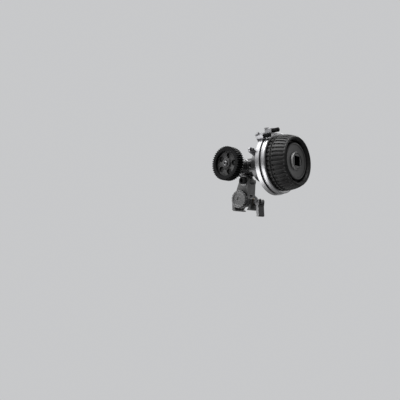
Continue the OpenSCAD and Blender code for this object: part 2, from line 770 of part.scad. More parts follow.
// Turned section of the grip from its back edge to the groove round the cap
function grip_section() = let(rim = wheel_r - lip_r) [
    [mark_front, core_r], [mark_front, wheel_r - 0.5], [mark_front + 0.5, wheel_r],
    [mark_front + 4, wheel_r], [mark_front + 4.6, wheel_r - 1.1], [mark_front + 5.4, wheel_r - 1.1],
    [mark_front + 6, wheel_r - 0.1], [mark_front + 10, wheel_r - 0.6],
    [wheel_front - 6, wheel_r - 1.7], [wheel_front - 3, wheel_r - 2.9],
    [wheel_front - 1.2, wheel_r - rim * 0.5], [wheel_front - 0.2, wheel_r - rim * 0.72],
    [wheel_front, lip_r + rim * 0.18], [wheel_front - 0.6, lip_r + rim * 0.07],
    [wheel_front - 2, lip_r], [cap_x, lip_r], [cap_x, core_r]
];

module grip_ring() {
    back = mark_front + 6.2;
    front = wheel_front - 3;
    lean = atan(2.3 / (front - back));
    color("#181818") at_head() difference() {
        x_turned(grip_section());
        for (i = [0:grip_ribs - 1]) rotate([(i + 0.5) * 360 / grip_ribs, 0, 0]) {
            translate([back, 0, wheel_r - rib_depth]) rotate([0, lean, 0])
                translate([0, -0.9, 0]) cube([front - back, 1.8, 4]);
            translate([mark_front - 1, -0.7, wheel_r - rib_depth]) cube([4.6, 1.4, 4]);
        }
    }
}

// Dished disc with a raised boss round the socket and a flange that floors the groove
module front_cap() {
    color("#1e1e1e") at_head() x_turned([
        [cap_x, sleeve_r], [cap_x, lip_r - run_fit], [cap_x + cap_flange_t, lip_r - run_fit],
        [cap_x + cap_flange_t, cap_r], [wheel_front - 3.4, cap_r],
        [wheel_front - 2.6, cap_r - 0.8], [wheel_front - 2.4, cap_r - 2.4],
        [wheel_front - 3.2, boss_r + 3], [wheel_front - 3.4, boss_r + 1],
        [wheel_front - 1.6, boss_r + 0.2], [wheel_front - 1.2, boss_r - 0.6],
        [wheel_front - 1.2, sleeve_r + 0.5], [sleeve_front, sleeve_r]
    ]);
}

// Sleeve with the square socket for a crank
module drive_socket() {
    color("#101010") at_head() difference() {
        x_rod(sleeve_r, shaft_end + 4, sleeve_front);
        translate([wheel_front - socket_depth, -socket_w / 2, -socket_w / 2])
            cube([socket_depth, socket_w, socket_w]);
        x_rod(3.6, shaft_end, wheel_front);
    }
}

module stop_ring() {
    color("#d6d8da") at_head() difference() {
        x_turned([
            [stop_x, seat_r + 1], [stop_x, stop_ring_r - 0.4], [stop_x + 0.4, stop_ring_r],
            [stop_front - 0.3, stop_ring_r], [stop_front, stop_ring_r - 0.3], [stop_front, hub_r],
            [stop_front - ring_web, hub_r], [stop_front - ring_web, seat_r + 1]
        ]);
        for (i = [0:2]) rotate([i * 120, 0, 0]) translate([0, 0, bolt_circle])
            x_rod(ring_screw_r, stop_x, stop_front + 1);
    }
}

module marking_ring() {
    color("#e2e4e6") at_head() x_turned([
        [mark_x, seat_r], [mark_x, mark_ring_r - 0.3], [mark_x + 0.3, mark_ring_r],
        [mark_front - 0.8, mark_ring_r], [mark_front, mark_ring_r - 0.8], [mark_front, seat_r]
    ]);
}

module ring_screws() {
    color("#8c8f93") at_head() for (i = [0:2]) rotate([i * 120, 0, 0]) translate([0, 0, bolt_circle])
        union() {
            x_rod(ring_screw_r, stop_front - ring_web - 0.5, stop_front - ring_web + ring_screw_len);
            x_rod(ring_screw_r + 0.95, stop_front - ring_web - 1.4, stop_front - ring_web);
        }
}

// ---- Stops ----

// Saddle that hooks over the stop ring, at the top of the ring
module stop_block() {
    color("#c8cacc") difference() {
        union() {
            rotate([90, 0, 90]) translate([0, 0, leg_x]) linear_extrude(block_front - leg_x) polygon([
                [-stop_w / 2, block_r - 4], [stop_w / 2, block_r - 4], [stop_w / 2, block_r + 1.4],
                [thumb_shank + 1, block_top], [-thumb_shank - 1, block_top], [-stop_w / 2, block_r + 1.4]
            ]);
            // crest on the back leg
            translate([leg_x, -stop_w / 2 + 0.4, block_top - eps]) cube([leg_t, stop_w - 0.8, 1.6]);
        }
        // the stop ring and the groove behind the marking ring run through here
        x_rod(block_r, leg_x + leg_t, stop_front + 0.2);
        x_rod(mark_ring_r - 0.5 + gap, leg_x + leg_t, block_front + 1);
        translate([0, 0, thumb_at]) x_rod(thumb_shank + run_fit, leg_x - 1, block_front + 1);
    }
}

module thumbscrew() {
    head_x = block_front + gap;
    color("#121212") translate([0, 0, thumb_at]) difference() {
        union() {
            x_rod(thumb_shank, leg_x + 0.3, head_x + 1);
            x_turned([
                [head_x, 0], [head_x, thumb_r - 0.5], [head_x + 0.5, thumb_r],
                [head_x + thumb_len - 0.6, thumb_r], [head_x + thumb_len, thumb_r - 0.6],
                [head_x + thumb_len, 0]
            ]);
        }
        for (i = [0:11]) rotate([i * 30, 0, 0])
            translate([head_x - 1, -0.25, thumb_r - 0.35]) cube([thumb_len + 2, 0.5, 1]);
    }
}

module stop_a_block() { round_ring(stop_a_deg) stop_block(); }
module stop_a_screw() { round_ring(stop_a_deg) thumbscrew(); }
module stop_b_block() { round_ring(stop_b_deg) stop_block(); }
module stop_b_screw() { round_ring(stop_b_deg) thumbscrew(); }

// ---- Drive gear ----

module output_shaft() {
    color("#a5a7aa") at_head() difference() {
        y_rod(output_r, web_front + 1.6, -bevel_r + bevel_face + 0.6);
        y_tube(output_r + 1, 2.2, -bevel_back, -bevel_r + bevel_face + 1);
        y_rod(gear_screw_r, gear_front, web_front + 9);
        translate([0, gear_pin_y, gear_pin_z]) cylinder(r = gear_pin_r, h = 2 * output_r);
    }
}

module output_bevel() {
    color("#9c7f43") at_head() rotate([0, 0, -90]) bevel_gear(0.5, 2.2);
}

// One tooth of the drive gear, pointing along +X
module gear_tooth() {
    pitch_r = gear_module * gear_teeth / 2;
    tooth = gear_module * PI / 2;
    polygon([
        [pitch_r - 1.2 * gear_module, -tooth * 0.78], [pitch_r - 0.4 * gear_module, -tooth * 0.62],
        [pitch_r + 0.4 * gear_module, -tooth * 0.4], [pitch_r + gear_module, -tooth * 0.22],
        [pitch_r + gear_module, tooth * 0.22], [pitch_r + 0.4 * gear_module, tooth * 0.4],
        [pitch_r - 0.4 * gear_module, tooth * 0.62], [pitch_r - 1.2 * gear_module, tooth * 0.78]
    ]);
}

module drive_gear() {
    root_r = gear_module * (gear_teeth / 2 - 1.15);
    dish_r = root_r - 3.2;
    hub = output_r + 2.4;
    pocket_r = (dish_r - hub) * 0.38;
    color("#222222") at_head() difference() {
        y_slab(gear_front, gear_back) {
            circle(root_r);
            for (i = [0:gear_teeth - 1]) rotate(i * 360 / gear_teeth) gear_tooth();
        }
        y_tube(dish_r, hub, gear_front - 1, web_front);
        y_rod(hub + 0.1, gear_front - 1, gear_front + 1.6);
        y_tube(dish_r, hub, gear_back - 1.6, gear_back + 1);
        for (i = [0:gear_pockets - 1]) rotate([0, i * 360 / gear_pockets, 0])
            translate([(dish_r + hub) / 2, 0, 0]) y_rod(pocket_r, gear_front - 1, web_front + pocket_depth);
        y_rod(output_r, web_front + 1.6, gear_back + 1);
        y_rod(gear_screw_r + 0.1, gear_front - 1, web_front + 3);
        translate([0, gear_pin_y, 0]) cylinder(r = gear_pin_r, h = gear_pin_z + gear_pin_len);
    }
}

// Spacer between the drive gear and its outer bearing
module gear_collar() {
    color("#a5a7aa") at_head() y_tube(output_r + 1.3, output_r, gear_back, bearing_out_y);
}

module gear_pin() {
    color("#8c8f93") at_head() translate([0, gear_pin_y, gear_pin_z])
        cylinder(r = gear_pin_r, h = gear_pin_len);
}

module gear_screw() {
    front = gear_front + 1.6;
    color("#77797c") at_head() difference() {
        union() {
            y_rod(gear_screw_r, front - 0.5, web_front + 8.6);
            y_turned([
                [front - 1.7, 0], [front - 1.7, 1.7], [front - 1.2, 2.5], [front, 2.8], [front, 0]
            ]);
        }
        hex_hole(2, front - 3, front - 0.5);
    }
}

clamp_body();
clamp_bolt();
bolt_nut();
guide_pins();
jaw_spring();
moving_jaw();
cam_saddle();
cam_lever();
lever_pin();
swing_arm();
lock_knob();
knob_stud();
knob_washer();
pivot_bolt();
pivot_washer();
pivot_nut();
friction_discs();
gearbox_housing();
gearbox_cover();
cover_screws();
bearing_lock_screw();
input_bearing_inner();
input_bearing_outer();
input_spacer();
output_bearing_inner();
output_bearing_outer();
output_spacer();
back_plate();
back_plate_screws();
stop_peg();
drag_washer();
input_shaft();
input_bevel();
wheel_core();
wheel_pin();
wheel_screw();
grip_ring();
front_cap();
drive_socket();
stop_ring();
marking_ring();
ring_screws();
stop_a_block();
stop_a_screw();
stop_b_block();
stop_b_screw();
output_shaft();
output_bevel();
drive_gear();
gear_collar();
gear_pin();
gear_screw();
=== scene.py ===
import json
import math
import bpy
import bmesh
from mathutils import Matrix, Vector


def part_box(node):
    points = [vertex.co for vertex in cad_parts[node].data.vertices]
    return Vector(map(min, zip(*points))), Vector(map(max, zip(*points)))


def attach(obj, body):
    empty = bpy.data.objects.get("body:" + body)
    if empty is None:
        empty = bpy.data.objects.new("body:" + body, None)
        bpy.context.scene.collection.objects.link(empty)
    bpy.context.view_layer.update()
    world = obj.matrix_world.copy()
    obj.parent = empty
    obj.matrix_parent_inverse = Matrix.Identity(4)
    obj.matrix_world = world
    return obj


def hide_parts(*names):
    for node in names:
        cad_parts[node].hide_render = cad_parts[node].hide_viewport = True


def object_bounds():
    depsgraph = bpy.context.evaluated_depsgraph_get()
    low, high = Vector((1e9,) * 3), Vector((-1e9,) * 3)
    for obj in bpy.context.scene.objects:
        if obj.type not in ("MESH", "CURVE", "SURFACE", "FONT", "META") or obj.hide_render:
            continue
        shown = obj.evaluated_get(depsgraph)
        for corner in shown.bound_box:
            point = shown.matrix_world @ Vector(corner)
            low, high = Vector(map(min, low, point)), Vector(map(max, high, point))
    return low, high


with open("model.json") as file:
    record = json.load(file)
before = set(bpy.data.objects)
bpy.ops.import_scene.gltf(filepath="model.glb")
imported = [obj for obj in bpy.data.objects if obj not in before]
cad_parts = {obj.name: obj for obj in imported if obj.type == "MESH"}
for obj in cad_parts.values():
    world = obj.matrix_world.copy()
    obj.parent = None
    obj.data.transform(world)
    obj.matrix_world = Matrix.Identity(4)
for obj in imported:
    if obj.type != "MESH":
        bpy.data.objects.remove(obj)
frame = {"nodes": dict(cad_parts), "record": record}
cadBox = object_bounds()
print("stage: CAD frame loaded,", len(frame["nodes"]), "nodes")

mm = 0.001


def span(node):
    low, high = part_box(node)
    return Vector(low), Vector(high)


def middle(node):
    low, high = span(node)
    return (low + high) / 2


# the lines that pieces turn about, read from the CAD nodes
wheelAxis = middle("grip_ring")           # the handwheel turns about X through here
gearAxis = middle("drive_gear")           # the drive gear turns about Y through here
knobAxis = middle("lock_knob")            # the lock knob turns about Y through here
headCentre = Vector((gearAxis.x, wheelAxis.y, wheelAxis.z))


class Wire:
    # one output socket that Python sums can be written on
    def __init__(self, graph, socket):
        self.graph = graph
        self.socket = socket

    def sum(self, how, first, second):
        return self.graph.node("ShaderNodeMath", {"operation": how}, {0: first, 1: second})

    def __add__(self, other):
        return self.sum("ADD", self, other)

    def __radd__(self, other):
        return self.sum("ADD", other, self)

    def __sub__(self, other):
        return self.sum("SUBTRACT", self, other)

    def __rsub__(self, other):
        return self.sum("SUBTRACT", other, self)

    def __mul__(self, other):
        return self.sum("MULTIPLY", self, other)

    def __rmul__(self, other):
        return self.sum("MULTIPLY", other, self)

    def __truediv__(self, other):
        return self.sum("DIVIDE", self, other)

    def __rtruediv__(self, other):
        return self.sum("DIVIDE", other, self)

    def __pow__(self, other):
        return self.sum("POWER", self, other)

    def __rpow__(self, other):
        return self.sum("POWER", other, self)


class Graph:
    # the nodes of a material or a world, and the few calls that build them
    def __init__(self, owner):
        owner.use_nodes = True
        self.owner = owner
        self.tree = owner.node_tree
        self.shader = next(n for n in self.tree.nodes if n.type in ("BSDF_PRINCIPLED", "BACKGROUND"))

    def feed(self, socket, value):
        if isinstance(value, Wire):
            self.tree.links.new(value.socket, socket)
        elif isinstance(value, (tuple, list, Vector)) and len(value) == 3 and socket.type == "RGBA":
            socket.default_value = (*value, 1)
        else:
            socket.default_value = value

    def node(self, kind, settings=None, sockets=None, out=0):
        made = self.tree.nodes.new(kind)
        for key, value in (settings or {}).items():
            if key == "stops":
                ramp = made.color_ramp
                while len(ramp.elements) < len(value):
                    ramp.elements.new(0.5)
                for element, (place, shade) in zip(ramp.elements, value):
                    element.position = place
                    element.color = (shade, shade, shade, 1)
            else:
                setattr(made, key, value)
        for key, value in (sockets or {}).items():
            self.feed(made.inputs[key], value)
        return Wire(self, made.outputs[out])

    def mix(self, factor, first, second):
        return self.node("ShaderNodeMix", {"data_type": "RGBA"}, {0: factor, 6: first, 7: second}, out=2)

    def vector(self, how, first, second, out=0):
        return self.node("ShaderNodeVectorMath", {"operation": how}, {0: first, 1: second}, out=out)

    def place(self):
        return self.node("ShaderNodeTexCoord", out="Object")

    def noise(self, scale, detail=3, rough=0.55, where=None):
        return self.node("ShaderNodeTexNoise", {}, {
            "Vector": where or self.place(), "Scale": scale, "Detail": detail, "Roughness": rough}, out="Fac")

    def ramp(self, value, *stops):
        return self.node("ShaderNodeValToRGB", {"stops": stops}, {"Fac": value}, out="Color")

    def step(self, value, blur):
        # 0 where a value is below zero, rising to 1 where it reaches blur
        return self.ramp(value / blur, (0, 0), (1, 1))

    def varied(self, level, *swings):
        # a level that each (mask, swing) moves up and down
        for mask, swing in swings:
            level = level + (mask - 0.5) * swing
        return level

    def split(self, vector):
        return [self.node("ShaderNodeSeparateXYZ", {}, {0: vector}, out=i) for i in range(3)]

    def fromAxis(self, axis, centre):
        # how far along an axis from its centre, and how far out from the axis
        x, y, z = self.split(self.vector("SUBTRACT", self.place(), tuple(centre)))
        along, side = (x, y) if axis == "X" else (y, x)
        return along, (side * side + z * z) ** 0.5

    def softNormal(self, radius):
        return self.node("ShaderNodeBevel", {"samples": 4}, {"Radius": radius})

    def edges(self, radius, low, high):
        # 0 on flat faces, rising to 1 on sharp outer and inner edges
        flat = self.node("ShaderNodeNewGeometry", out="Normal")
        bend = 1 - self.vector("DOT_PRODUCT", self.softNormal(radius), flat, out="Value")
        return self.ramp(bend, (low, 0), (high, 1))

    def paintedShadeOpenness(self, reach):
        # 1 on open faces, falling towards 0 in grooves; the finishes use it to paint shade into grooves and
        # hollows
        return self.node("ShaderNodeAmbientOcclusion", {"samples": 6}, {"Distance": reach}, out="AO")

    def bump(self, height, strength, distance, normal=None):
        sockets = {"Height": height, "Strength": strength, "Distance": distance}
        if normal:
            sockets["Normal"] = normal
        return self.node("ShaderNodeBump", {}, sockets)

    def turned(self, axis, centre, scale):
        # fine lines round an axis, on the rim and on the faces alike
        along, radius = self.fromAxis(axis, centre)
        lines = self.node("ShaderNodeCombineXYZ", {}, {0: along, 1: radius})
        return self.noise(scale, 2, 0.6, lines)

    def finish(self, sockets):
        for key, value in sockets.items():
            self.feed(self.shader.inputs[key], value)
        return self.owner


def newFinish(name):
    return Graph(bpy.data.materials.new(name))


colours = {
    "anodisedDark": (0.012, 0.012, 0.013), "anodisedWorn": (0.085, 0.085, 0.088),
    # the three edge colours below are partly a painted highlight on the edges, and the arm's and the clamp's
    # base colours are lighter than the housing's, as painted light
    "hardDark": (0.070, 0.070, 0.072), "hardWornAndHighlight": (0.36, 0.36, 0.365),
    "armDark": (0.108, 0.108, 0.109), "armWornAndHighlight": (0.42, 0.42, 0.425),
    "clampDark": (0.100, 0.100, 0.101), "clampWornAndHighlight": (0.38, 0.38, 0.385),
    # the cap's edge colour is its rubbed edges and also the painted highlight on its boss's side
    "capLight": (0.024, 0.024, 0.025), "capDark": (0.013, 0.013, 0.0135), "capEdgeAndHighlight": (0.70, 0.70, 0.70),
    # the rubber's dusting colour is partly real dusting and partly a painted highlight on the grip's rib
    # crests
    "rubberDark": (0.006, 0.006, 0.0065), "rubberDustAndHighlight": (0.135, 0.134, 0.133),
    "gearDark": (0.004, 0.004, 0.0045), "gearDust": (0.030, 0.030, 0.031), "gearWeb": (0.085, 0.085, 0.086),
    "silver": (0.41, 0.41, 0.42), "silverDark": (0.20, 0.20, 0.21),
    # the tabs' rubbed edge colour is also the painted light on the lever's side
    "tab": (0.24, 0.24, 0.25), "tabWornAndLeverLight": (0.40, 0.40, 0.41),
    "knobGrey": (0.165, 0.165, 0.167), "knobDark": (0.075, 0.075, 0.077),
    "steel": (0.56, 0.565, 0.57), "steelDark": (0.40, 0.40, 0.41),
    "oxide": (0.008, 0.008, 0.009), "oxideWorn": (0.04, 0.04, 0.04),
    # the dark knurl colour is the thumbscrews' own black and also the cap's painted shade
    "knurlDarkAndCapShade": (0.004, 0.004, 0.0045), "knurlWorn": (0.012, 0.012, 0.012),
    "dull": (0.17, 0.17, 0.175), "dullDark": (0.08, 0.08, 0.083),
    "brass": (0.20, 0.165, 0.11), "brassDark": (0.11, 0.09, 0.06),
    "fibre": (0.30, 0.22, 0.12), "fibreDark": (0.18, 0.12, 0.06),
}


# coated metal, with a fine grain and lighter edges where the coat rubs off; on the housing, arm and clamp
# these light edges are partly a painted highlight
anodising = {"grain": 5200, "grainDepth": 0.05 * mm, "cloud": 130, "cloudShare": 0.5, "cloudLift": 1.35,
             "patches": 900, "softness": 0.4 * mm, "metallic": 0.35}


def anodised(name, dark, wornAndHighlight, rough, edgeShare, softness=anodising["softness"],
             metallic=anodising["metallic"], shine=0.5):
    g = newFinish(name)
    grain = g.noise(anodising["grain"], 4)
    cloud = g.noise(anodising["cloud"], 3)
    rim = g.edges(softness, 0.02, 0.30)
    patches = g.ramp(g.noise(anodising["patches"]), (0.35, 0.25), (0.62, 1))
    lifted = tuple(c * anodising["cloudLift"] for c in dark)
    base = g.mix(cloud * anodising["cloudShare"], dark, lifted)
    return g.finish({
        "Base Color": g.mix(rim * edgeShare * patches, base, wornAndHighlight),
        "Metallic": metallic,
        "Specular IOR Level": shine,
        "Roughness": g.varied(rough, (cloud, 0.10), (grain, 0.10)),
        "Normal": g.bump(grain, 0.10, anodising["grainDepth"], g.softNormal(softness))})


# bare or coated metal with the fine lines of a lathe
turning = {"lines": 5200, "lineShare": 0.45, "lineDepth": 0.03 * mm, "cloud": 90, "cloudShare": 0.2,
           "softness": 0.2 * mm}


def turnedMetal(name, axis, centre, light, dark, rough, scale=turning["lines"], metallic=1.0):
    g = newFinish(name)
    lines = g.turned(axis, centre, scale)
    cloud = g.noise(turning["cloud"], 3)
    return g.finish({
        "Base Color": g.mix(lines * turning["lineShare"] + cloud * turning["cloudShare"], light, dark),
        "Metallic": metallic,
        "Roughness": g.varied(rough, (lines, 0.22), (cloud, 0.05)),
        "Normal": g.bump(lines, 0.12, turning["lineDepth"], g.softNormal(turning["softness"]))})


# rubber and fibre, dusty on their open faces and edges; on the grip the lighter dusting of the rib crests is
# partly a painted highlight, and painted shade keeps the grooves dark
moulding = {"cloud": 160, "cloudShare": 0.4, "edgeRadius": 0.5 * mm, "paintedShadeReach": 0.9 * mm,
            "grainDepth": 0.08 * mm}


def moulded(name, dark, dustAndHighlight, rough, grainScale, grainStrength, dusty, shine=0.5):
    g = newFinish(name)
    grain = g.noise(grainScale, 5, 0.6)
    cloud = g.noise(moulding["cloud"], 4)
    rim = g.edges(moulding["edgeRadius"], 0.03, 0.35)
    wearAndHighlight = g.ramp(cloud, (0.35, 0.1), (0.75, 1)) * dusty * moulding["cloudShare"] + rim * dusty
    # painted shade: the dusting fades out where the faces are hemmed in, so grooves and hollows keep the dark
    # colour
    clear = g.ramp(g.paintedShadeOpenness(moulding["paintedShadeReach"]), (0.45, 0), (0.80, 1))
    return g.finish({
        "Base Color": g.mix(wearAndHighlight * clear, dark, dustAndHighlight),
        "Roughness": g.varied(rough, (grain, 0.16), (cloud, 0.08)),
        "Specular IOR Level": shine,
        "Normal": g.bump(grain, grainStrength, moulding["grainDepth"])})


# black teeth and rim, with a greyer web inside webRadius, and painted shade darkening web and edges in the
# dish's corners and pockets
gearLook = {"webRadius": 13.6 * mm, "webBlur": 0.3 * mm, "edgeRadius": 0.4 * mm, "edgeShare": 0.6,
            "paintedShadeReach": 2.5 * mm, "grain": 3600, "cloud": 230, "rough": 0.46, "shine": 0.12}


def mouldedGear(name):
    g = newFinish(name)
    grain = g.noise(gearLook["grain"], 5, 0.6)
    cloud = g.noise(gearLook["cloud"], 4)
    radius = g.fromAxis("Y", gearAxis)[1]
    web = g.step(gearLook["webRadius"] - radius, gearLook["webBlur"])
    rim = g.edges(gearLook["edgeRadius"], 0.03, 0.35)
    # painted shade: the web and the edges go dark where the dish and the pockets hem them in
    clear = g.ramp(g.paintedShadeOpenness(gearLook["paintedShadeReach"]), (0.30, 0), (0.85, 1))
    mottle = g.ramp(cloud, (0.30, 0.35), (0.70, 1))
    base = g.mix(web * clear * mottle, colours["gearDark"], colours["gearWeb"])
    return g.finish({
        "Base Color": g.mix(rim * clear * gearLook["edgeShare"], base, colours["gearDust"]),
        "Roughness": g.varied(gearLook["rough"], (grain, 0.16), (cloud, 0.10)),
        "Specular IOR Level": gearLook["shine"],
        "Normal": g.bump(grain, 0.12, moulding["grainDepth"])})


# satin black, with painted shade making the groove and the hollows near black, a painted highlight on the
# boss's side, and lighter edges where the black rubs off
capLook = {"grooveShadeFrom": 19.5 * mm, "grooveShadeBlur": 0.3 * mm, "boss": 9.1 * mm,
           "sideInside": 0.1 * mm, "sideInsideBlur": 0.2 * mm, "sideOutside": 0.9 * mm,
           "sideOutsideBlur": 0.3 * mm, "bossHighlightShare": 0.9, "edgeRadius": 0.4 * mm, "edgeShare": 0.35,
           "paintedShadeReach": 2.4 * mm, "lines": 3600, "rough": 0.40, "metallic": 0.3, "softness": 0.3 * mm}


def cappedFront(name):
    g = newFinish(name)
    radius = g.fromAxis("X", headCentre)[1]
    lines = g.turned("X", headCentre, capLook["lines"])
    cloud = g.noise(turning["cloud"], 3)
    # painted shade: the groove round the cap's edge is painted near black
    groove = g.step(radius - capLook["grooveShadeFrom"], capLook["grooveShadeBlur"])
    boss = capLook["boss"]
    # painted highlight: a light band on the boss's side, between fromBoss and toDish
    fromBoss = g.step(radius - boss + capLook["sideInside"], capLook["sideInsideBlur"])
    toDish = g.step(boss + capLook["sideOutside"] - radius, capLook["sideOutsideBlur"])
    rim = g.edges(capLook["edgeRadius"], 0.03, 0.35)
    # painted shade: the hollows and the dish round the boss darken to near black
    clear = g.ramp(g.paintedShadeOpenness(capLook["paintedShadeReach"]), (0.45, 0.1), (0.85, 1))
    streaks = lines * turning["lineShare"] + cloud * turning["cloudShare"]
    base = g.mix(streaks, colours["capLight"], colours["capDark"])
    # the painted boss highlight together with the lighter, rubbed edges
    wearAndHighlight = fromBoss * toDish * capLook["bossHighlightShare"] + rim * capLook["edgeShare"]
    wornAndHighlight = g.mix(wearAndHighlight, base, colours["capEdgeAndHighlight"])
    return g.finish({
        "Base Color": g.mix(groove, g.mix(clear, colours["knurlDarkAndCapShade"], wornAndHighlight), colours["knurlDarkAndCapShade"]),
        "Metallic": capLook["metallic"],
        "Roughness": g.varied(capLook["rough"], (lines, 0.22), (cloud, 0.05)),
        "Normal": g.bump(lines, 0.12, turning["lineDepth"], g.softNormal(capLook["softness"]))})


# black metal that a mask makes paler in one place: uncoated on the back plate's tongue, painted light on the
# lever's side
palerLook = {"grain": 4200, "rough": 0.40, "softness": 0.3 * mm, "litSideFacing": (0.80, 0.92), "patches": 420,
            "tongueFrom": 24.1 * mm, "tongueBlur": 0.4 * mm}


def partlyPaler(g, paler, palerColour, palerMetal):
    grain = g.noise(palerLook["grain"], 4)
    return g.finish({
        "Base Color": g.mix(paler, colours["anodisedDark"], palerColour),
        "Metallic": anodising["metallic"] + paler * palerMetal,
        "Roughness": g.varied(palerLook["rough"], (grain, 0.12)),
        "Normal": g.bump(grain, 0.10, anodising["grainDepth"], g.softNormal(palerLook["softness"]))})


def leverWithPaintedLightSide(name):
    # painted light: the lever's narrow side that faces -Y, towards the lamps, is painted paler in patches
    g = newFinish(name)
    facing = g.split(g.node("ShaderNodeTexCoord", out="Normal"))[1]
    coated, machined = palerLook["litSideFacing"]
    patches = g.ramp(g.noise(palerLook["patches"], 3), (0.25, 0.5), (0.6, 1))
    return partlyPaler(g, g.ramp(facing * -1, (coated, 0), (machined, 1)) * patches, colours["tabWornAndLeverLight"], 0.4)


def plateWithBareTongue(name):
    # the disc is black, and its tongue, outside tongueFrom, is bare
    g = newFinish(name)
    radius = g.fromAxis("X", headCentre)[1]
    paler = g.step(radius - palerLook["tongueFrom"], palerLook["tongueBlur"])
    return partlyPaler(g, paler, colours["tab"], 0.55)


blackAnodised = anodised("black anodised aluminium", colours["anodisedDark"], colours["anodisedWorn"],
                         rough=0.36, edgeShare=0.6)
# the housing's light edges are partly a painted highlight; the arm and the clamp are lighter copies of its
# anodising, as painted light, and their light edges are partly a painted highlight too
hardAnodised = anodised("dark grey hard anodised", colours["hardDark"], colours["hardWornAndHighlight"],
                        rough=0.34, edgeShare=0.75, softness=0.5 * mm, metallic=0.75)
armPaintedLighter = anodised("grey hard anodised arm, painted lighter", colours["armDark"], colours["armWornAndHighlight"],
                       rough=0.40, edgeShare=0.8, softness=0.6 * mm, metallic=0.4)
clampPaintedLighter = anodised("grey hard anodised clamp, painted lighter", colours["clampDark"], colours["clampWornAndHighlight"],
                         rough=0.38, edgeShare=0.8, softness=0.6 * mm, metallic=0.5)
tabSilver = anodised("silver stop tab", colours["tab"], colours["tabWornAndLeverLight"],
                     rough=0.34, edgeShare=0.6, softness=0.4 * mm, metallic=0.9)
knurlBlack = anodised("black knurled steel", colours["knurlDarkAndCapShade"], colours["knurlWorn"],
                      rough=0.46, edgeShare=0.4, softness=0.2 * mm, metallic=0, shine=0.1)
blackOxide = anodised("black oxide steel", colours["oxide"], colours["oxideWorn"],
                      rough=0.30, edgeShare=0.5, softness=0.2 * mm)

ringSilver = turnedMetal("turned silver ring", "X", headCentre, colours["silver"], colours["silverDark"],
                         rough=0.35)
knobGrey = turnedMetal("grey anodised knob", "Y", knobAxis, colours["knobGrey"], colours["knobDark"],
                       rough=0.42, scale=3800, metallic=0.6)
dullSteel = turnedMetal("dull steel", "Y", headCentre, colours["dull"], colours["dullDark"],
                        rough=0.45, scale=4000, metallic=0.8)
steelX = turnedMetal("machined steel, along X", "X", headCentre, colours["steel"], colours["steelDark"],
                     rough=0.24)
steelY = turnedMetal("machined steel, along Y", "Y", headCentre, colours["steel"], colours["steelDark"],
                     rough=0.24)
brassMachined = turnedMetal("machined brass", "X", headCentre, colours["brass"], colours["brassDark"],
                            rough=0.30)

# the grip's lighter dusting on the rib crests is partly a painted highlight
gripRubber = moulded("ribbed grip rubber", colours["rubberDark"], colours["rubberDustAndHighlight"],
                     rough=0.50, grainScale=2600, grainStrength=0.20, dusty=0.5, shine=0.25)
frictionFibre = moulded("friction fibre", colours["fibre"], colours["fibreDark"],
                        rough=0.85, grainScale=1800, grainStrength=0.3, dusty=0.6)

gearPlastic = mouldedGear("moulded gear")
capAnodised = cappedFront("satin black cap")
leverBlack = leverWithPaintedLightSide("black lever with a painted light side")
tonguePlate = plateWithBareTongue("back plate with bare tongue")

slotFinish = {
    "black_anodised": blackAnodised, "black_oxide": blackOxide, "grey_anodised": knobGrey,
    "satin_aluminium": ringSilver, "grip_rubber": gripRubber, "gear_plastic": gearPlastic,
    "fibre": frictionFibre, "brass": brassMachined, "bearing_steel": steelX, "plain_steel": steelX,
}
ownFinish = {
    "front_cap": capAnodised, "stop_a_block": tabSilver, "stop_b_block": tabSilver,
    "gearbox_housing": hardAnodised, "swing_arm": armPaintedLighter, "clamp_body": clampPaintedLighter,
    "moving_jaw": clampPaintedLighter, "back_plate": tonguePlate,
    "cam_lever": leverBlack, "lever_pin": dullSteel, "clamp_bolt": dullSteel, "bolt_nut": dullSteel,
    "output_bearing_inner": steelY, "output_bearing_outer": steelY, "output_shaft": steelY,
    "output_spacer": steelY, "gear_collar": steelY, "gear_screw": dullSteel, "knob_stud": steelY,
    "knob_washer": steelY, "pivot_washer": steelY,
}

# every CAD node gets its own finish, or else the finish of its slot
slotOf = {row["node"]: row["material_slot"] for row in frame["record"]["subparts"]}
for nodeName, piece in frame["nodes"].items():
    material = ownFinish.get(nodeName, slotFinish[slotOf[nodeName]])
    piece.data.materials.clear()
    piece.data.materials.append(material)
    for face in piece.data.polygons:
        face.material_index = 0
print("stage: finishes on the CAD nodes")


def makePiece(name, mesh, material, smoothAngle):
    mesh.polygons.foreach_set("use_smooth", [True] * len(mesh.polygons))
    mesh.set_sharp_from_angle(angle=math.radians(smoothAngle))
    piece = bpy.data.objects.new(name, mesh)
    bpy.context.scene.collection.objects.link(piece)
    mesh.materials.append(material)
    return piece


def footOf(axis, through):
    # the point of an axis that is level with the origin, so that lengths along it are the frame's own
    return Vector((0, through.y, through.z)) if axis == "X" else Vector((through.x, 0, through.z))


def axisPoint(axis, foot, along, radius, angle):
    # angle runs from the top, towards -Y on an X axis and towards +X on a Y axis
    if axis == "X":
        return foot + Vector((along, -radius * math.sin(angle), radius * math.cos(angle)))
    return foot + Vector((radius * math.sin(angle), along, radius * math.cos(angle)))


